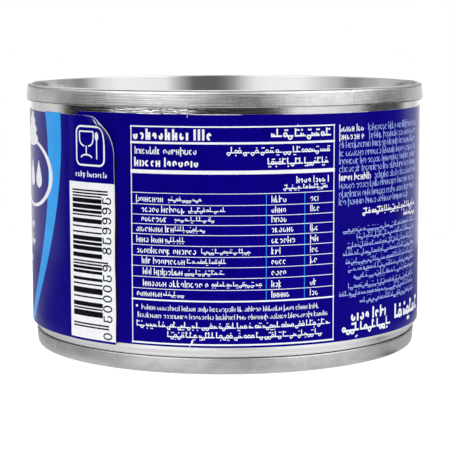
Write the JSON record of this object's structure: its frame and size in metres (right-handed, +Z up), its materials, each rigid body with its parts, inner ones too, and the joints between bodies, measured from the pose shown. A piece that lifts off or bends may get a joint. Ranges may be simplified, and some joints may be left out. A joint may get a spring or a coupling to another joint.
{
  "type": "cream tin",
  "caption": "Short round food tin, shut, with a seamed end above and below, a necked-in foot and a wound paper label.",
  "frame": {"origin": "centre of the ring the tin stands on", "axes": "+Z up along the tin's axis; -Y is the side with the label's printed table, its free edge to the left of it"},
  "size_m": [0.0763, 0.0762, 0.05],
  "materials": {
    "tinplate": "bright tinplate with fine rolling lines",
    "label_paper": "gloss-coated paper printed royal blue, with white and light blue print"
  },
  "bodies": {
    "root": {"tin_body": "tinplate", "top_end": "tinplate", "bottom_end": "tinplate", "label": "label_paper"}
  },
  "joints": []
}
